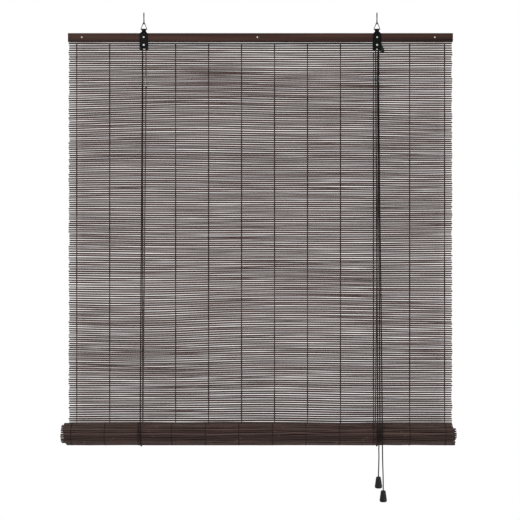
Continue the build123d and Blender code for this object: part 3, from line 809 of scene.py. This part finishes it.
# %% Group: braid
gap_low, gap_high = -0.7, 0.35
tree, given, result = new_group(
    "braid", {"Place": None, "Strands": 4.0, "Picks": 0.45}, ["Height", "Gap Shade"]
)
braid_group = tree
parts = add(tree, "ShaderNodeSeparateXYZ", {0: given["Place"]}).outputs
round_it = sum_of(tree, "MULTIPLY", parts[0], given["Strands"])
along_it = sum_of(tree, "MULTIPLY", parts[1], given["Picks"])
waves = []
for way in ("ADD", "SUBTRACT"):
    phase = sum_of(tree, "MULTIPLY", sum_of(tree, way, round_it, along_it), 2 * pi)
    waves.append(sum_of(tree, "SINE", phase))
height = sum_of(tree, "MAXIMUM", *waves)
tree.links.new(height, result["Height"])
# The second output marks the gaps between the strands, where the cord finish paints shade.
tree.links.new(between(tree, height, gap_low, gap_high, 1.0, 0.0), result["Gap Shade"])

# %% Group: wear
speck_fineness, speck_full = 14.0, 0.8
speck_edge, edge_drop = 0.78, 0.12
tree, given, result = new_group(
    "wear", {"Place": None, "Scale": 60.0, "Amount": 0.5}, ["Cloud", "Specks"]
)
wear_group = tree
cloud = noise(tree, given["Place"], given["Scale"], 5.0)
fineness = sum_of(tree, "MULTIPLY", given["Scale"], speck_fineness)
speck = noise(tree, given["Place"], fineness, 2.0)
drop = sum_of(tree, "MULTIPLY", given["Amount"], edge_drop)
edge = sum_of(tree, "SUBTRACT", speck_edge, drop)
tree.links.new(cloud, result["Cloud"])
tree.links.new(between(tree, speck, edge, speck_full), result["Specks"])

# %% Start and end of a finish
finishes = {}


def start_finish(slot, **sockets):
    """New material with its shader's plain sockets set, and its object coordinates."""
    material = bpy.data.materials.new(slot)
    material.use_nodes = True
    tree = material.node_tree
    shader = tree.nodes["Principled BSDF"]
    for label, value in sockets.items():
        shader.inputs[label.replace("_", " ")].default_value = value
    place = add(tree, "ShaderNodeTexCoord").outputs["Object"]
    finishes[slot] = material
    print("finish", slot)
    return tree, shader, place


def finish_surface(tree, shader, colour, roughness, height, depth):
    """Links colour and roughness, and a height through a bump node of the given depth."""
    bump = add(tree, "ShaderNodeBump", {"Height": height, "Distance": depth, "Strength": 0.8})
    for label, value in (("Base Color", colour), ("Roughness", roughness)):
        tree.links.new(value, shader.inputs[label])
    tree.links.new(bump.outputs[0], shader.inputs["Normal"])


# %% [markdown]
# ## Bamboo
# Split bamboo is stained, so the stain sits in long fibres, each reed has taken it differently,
# and here and there a joint of the cane shows as a short pale ring. The tone of each reed was
# stored with its points; the rings come from the distance along the reed, shifted by that tone.

# %% Finish: bamboo
dark_reed, pale_reed = srgb(58, 44, 40), srgb(103, 85, 81)
dark_streak, pale_streak = srgb(150, 140, 136), srgb(255, 250, 246)
joint_colour, joints_per_metre = srgb(112, 90, 82), 3.1
joint_core, joint_edge = 0.003, 0.012
seed_per_tone = 57.0

tree, shader, place = start_finish("bamboo", Specular_IOR_Level=0.14)
tone = add(tree, "ShaderNodeAttribute", attribute_name="tone").outputs["Fac"]
seed = sum_of(tree, "MULTIPLY", tone, seed_per_tone)
fibre = use(tree, fibre_group, {"Place": place, "Along": 45.0, "Across": 1500.0, "Seed": seed})
colour = blend_colour(tree, tone, dark_reed, pale_reed)
streak = blend_colour(tree, span(tree, fibre["Figure"]), dark_streak, pale_streak)
colour = blend_colour(tree, 0.9, colour, streak, "MULTIPLY")
x = add(tree, "ShaderNodeSeparateXYZ", {0: place}).outputs[0]
along = sum_of(tree, "ADD", sum_of(tree, "MULTIPLY", x, joints_per_metre), seed)
from_joint = sum_of(tree, "SUBTRACT", sum_of(tree, "FRACT", along), 0.5)
joint = between(tree, sum_of(tree, "ABSOLUTE", from_joint), joint_core, joint_edge, 1.0, 0.0)
colour = blend_colour(tree, sum_of(tree, "MULTIPLY", joint, 0.3), colour, joint_colour)
height = sum_of(tree, "ADD", fibre["Fibre"], sum_of(tree, "MULTIPLY", joint, 0.8))
rough = span(tree, fibre["Fibre"], 0.5, 0.72)
finish_surface(tree, shader, colour, rough, height, depth=0.25 * mm)

# %% [markdown]
# ## Stained wood
# The battens are planed hardwood, stained the colour of the reeds and lacquered: broad soft
# figure, fine pores, and a thin coat that takes a low shine. The bottom slat is the same without
# the lacquer.

# %% Finishes: battens and bottom slat
pore_colour = srgb(20, 12, 10)
wood_sorts = {
    "mahogany": (srgb(24, 14, 12), srgb(76, 50, 42), 0.45, 0.03),
    "slat_wood": (srgb(52, 36, 30), srgb(82, 60, 52), 0.6, 0.0),
}
for slot, (dark, light, roughness, coat) in wood_sorts.items():
    tree, shader, place = start_finish(
        slot, Specular_IOR_Level=0.1, Coat_Weight=coat, Coat_Roughness=0.3
    )
    fibre = use(tree, fibre_group, {"Place": place, "Along": 12.0, "Across": 420.0, "Seed": 3.0})
    pores = use(tree, fibre_group, {"Place": place, "Along": 60.0, "Across": 2600.0, "Seed": 8.0})
    colour = blend_colour(tree, span(tree, fibre["Figure"]), dark, light)
    pore = between(tree, pores["Fibre"], 0.3, 0.45, 1.0, 0.0)
    colour = blend_colour(tree, sum_of(tree, "MULTIPLY", pore, 0.7), colour, pore_colour)
    rough = span(tree, fibre["Fibre"], roughness, roughness + 0.16)
    finish_surface(tree, shader, colour, rough, pores["Fibre"], depth=0.18 * mm)

# %% [markdown]
# ## Metals
# The straps are pressed steel under black lacquer, which is smooth but not flat, with dust specks
# caught in it. Hooks, rings and screw eyes are drawn wire, and the screws are plated bright. All
# of them share the wear group, and only the numbers differ.

# %% Finishes: lacquered and bare metal
dust = srgb(120, 112, 104)
metal_sorts = {
    "black_steel": (srgb(6, 7, 7), srgb(13, 14, 14), 0.0, 0.34, 0.16, 0.00004),
    "wire": (srgb(62, 62, 63), srgb(98, 97, 95), 1.0, 0.3, 0.18, 0.00003),
    "bright_steel": (srgb(168, 167, 165), srgb(205, 203, 200), 1.0, 0.2, 0.14, 0.00002),
}
for slot, (dark, light, metallic, roughness, spread, depth) in metal_sorts.items():
    tree, shader, place = start_finish(slot, Metallic=metallic, Specular_IOR_Level=0.06)
    worn = use(tree, wear_group, {"Place": place, "Scale": 140.0, "Amount": 0.6})
    colour = blend_colour(tree, span(tree, worn["Cloud"]), dark, light)
    speck_colour = blend_colour(tree, 0.5, light, dust)
    colour = blend_colour(tree, sum_of(tree, "MULTIPLY", worn["Specks"], 0.5), colour, speck_colour)
    rough = span(tree, worn["Cloud"], roughness, roughness + spread)
    finish_surface(tree, shader, colour, rough, worn["Cloud"], depth)

# %% [markdown]
# ## Plastics
# The rollers are black nylon, matt from the mould. The lock lever and the tassels are a harder,
# shinier black. The breakaway links are clear, and let the cord behind them show.

# %% Finishes: plastics
plastic_sorts = {
    "nylon": (srgb(18, 18, 19), srgb(30, 30, 31), 0.5, 0.15, 0.25, 0.0, 0.00003),
    "black_plastic": (srgb(9, 9, 10), srgb(18, 18, 19), 0.34, 0.12, 0.2, 0.0, 0.00003),
    "clear_plastic": (srgb(226, 230, 232), srgb(240, 243, 244), 0.05, 0.05, 0.5, 0.9, 0.000004),
}
for slot, (dark, light, roughness, spread, gloss, clear, depth) in plastic_sorts.items():
    tree, shader, place = start_finish(
        slot, Specular_IOR_Level=gloss, Transmission_Weight=clear, IOR=1.49
    )
    worn = use(tree, wear_group, {"Place": place, "Scale": 220.0, "Amount": 0.3})
    colour = blend_colour(tree, span(tree, worn["Cloud"]), dark, light)
    rough = span(tree, worn["Cloud"], roughness, roughness + spread)
    finish_surface(tree, shader, colour, rough, worn["Cloud"], depth)

# %% [markdown]
# ## Cord and thread
# The lift cord is a braid of eight strands. Two sets of slanting waves, one wound each way, give
# its height on the cord's own UV map, and the gaps between the strands get a painted shade. The
# warp thread is twisted, and too thin for more than a fleck.

# %% Finishes: cord and thread
tree, shader, place = start_finish("cord", Specular_IOR_Level=0.08, Sheen_Weight=0.04)
dark, light, gap_shade_colour = srgb(20, 15, 14), srgb(34, 27, 25), srgb(8, 6, 5)
on_cord = add(tree, "ShaderNodeUVMap", uv_map="UVMap").outputs[0]
braid = use(tree, braid_group, {"Place": on_cord, "Strands": 4.0, "Picks": 0.5})
fleck = noise(tree, place, 900.0, 2.0)
colour = blend_colour(tree, span(tree, fleck), dark, light)
# Painted shade: the gaps between the strands are darkened towards a near-black colour.
colour = blend_colour(tree, sum_of(tree, "MULTIPLY", braid["Gap Shade"], 0.7), colour, gap_shade_colour)
rough = span(tree, fleck, 0.7, 0.9)
finish_surface(tree, shader, colour, rough, braid["Height"], depth=0.2 * mm)

tree, shader, place = start_finish("thread", Specular_IOR_Level=0.12)
dark, light = srgb(32, 23, 20), srgb(51, 38, 35)
fleck = noise(tree, place, 700.0, 3.0)
colour = blend_colour(tree, span(tree, fleck), dark, light)
rough = span(tree, fleck, 0.75, 0.95)
finish_surface(tree, shader, colour, rough, fleck, depth=0.1 * mm)

# %% Give every piece its finish
for part in frame["record"]["subparts"]:
    for holder in frame["nodes"][part["node"]].material_slots:
        holder.material = finishes[part["material_slot"]]
made_here = [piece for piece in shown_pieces() if "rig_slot" in piece]
for piece in made_here:
    piece.data.materials.clear()
    piece.data.materials.append(finishes[piece["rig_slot"]])

# %% [markdown]
# ## Studio
# A blind is looked at against the light, so the background is white: the world is white to the
# camera, to reflections and through clear plastic, and a plain grey to everything that it lights.
# Two large soft lamps in front and one behind do the rest. A pale round floor far below catches
# the shadow.

# %% World
white = (1.0, 1.0, 1.0, 1.0)
room_strength = 0.6
world = bpy.data.worlds.new("studio")
world.use_nodes = True
scene.world = world
tree = world.node_tree
tree.nodes.clear()
ray = add(tree, "ShaderNodeLightPath").outputs
direct = sum_of(tree, "MAXIMUM", ray["Is Camera Ray"], ray["Is Glossy Ray"])
direct = sum_of(tree, "MAXIMUM", direct, ray["Is Transmission Ray"])
room = add(tree, "ShaderNodeBackground", {0: white, 1: room_strength}).outputs[0]
backdrop = add(tree, "ShaderNodeBackground", {0: white, 1: 1.0}).outputs[0]
mixed = add(tree, "ShaderNodeMixShader", {0: direct, 1: room, 2: backdrop})
add(tree, "ShaderNodeOutputWorld", {0: mixed.outputs[0]})
print("the world is white to the camera and lights the blind at", room_strength)

# %% Lamps
aim_at = Vector((0, 0, -0.6))
for name, place, size, power in (
    ("key", (-1.5, -2.6, 0.7), 1.6, 34.0),
    ("fill", (1.9, -2.2, -0.9), 1.8, 16.0),
    ("back", (0.6, 2.4, 0.9), 2.0, 18.0),
):
    lamp = bpy.data.lights.new(name, "AREA")
    lamp.size = size
    lamp.energy = power
    holder = bpy.data.objects.new(name, lamp)
    holder.location = place
    holder.rotation_euler = (aim_at - Vector(place)).to_track_quat("-Z", "Y").to_euler()
    scene.collection.objects.link(holder)
    print("lamp", name, "at", place, "with", power, "W")

# %% Floor
floor_z, floor_radius, hub_radius = -3.0, 2.6, 0.02
floor_rows, floor_columns = 8, 96
turn = np.arange(floor_columns) * 2 * pi / floor_columns
circles = np.linspace(hub_radius, floor_radius, floor_rows)[:, None]
floor_points = np.stack(
    [circles * np.cos(turn), circles * np.sin(turn), 0 * circles * turn + floor_z], -1
)
floor_faces = grid_faces(floor_rows, floor_columns)[:, ::-1].tolist()
floor_faces.append(list(range(floor_columns)))
floor_mesh = bpy.data.meshes.new("floor")
floor_mesh.from_pydata(floor_points.reshape(-1, 3).tolist(), [], floor_faces)
floor = bpy.data.objects.new("floor", floor_mesh)
scene.collection.objects.link(floor)
floor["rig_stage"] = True
print("floor faces:", len(floor_faces))

# %% Floor paint, which fades to white
fade_from, fade_to = 0.9, 2.4
paint = bpy.data.materials.new("floor_paint")
paint.use_nodes = True
tree = paint.node_tree
shader = tree.nodes["Principled BSDF"]
shader.inputs["Base Color"].default_value = (0.82, 0.82, 0.82, 1.0)
shader.inputs["Roughness"].default_value = 0.8
where = add(tree, "ShaderNodeTexCoord").outputs["Object"]
flat = add(tree, "ShaderNodeVectorMath", {0: where, 1: (1.0, 1.0, 0.0)}, operation="MULTIPLY")
far = add(tree, "ShaderNodeVectorMath", {0: flat.outputs[0]}, operation="LENGTH").outputs["Value"]
far = between(tree, far, fade_from, fade_to, interpolation_type="SMOOTHSTEP")
glow = add(tree, "ShaderNodeEmission", {0: white, 1: 1.0})
mixed = add(tree, "ShaderNodeMixShader", {0: far, 1: shader.outputs[0], 2: glow.outputs[0]})
tree.links.new(mixed.outputs[0], tree.nodes["Material Output"].inputs[0])
floor_mesh.materials.append(paint)
print("the floor fades to white from", fade_from, "to", fade_to, "m")

# %% Sizes of the frame and of the finished blind
size = {"cad": [list(corner) for corner in cad_box], "visual": [list(corner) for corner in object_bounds()]}
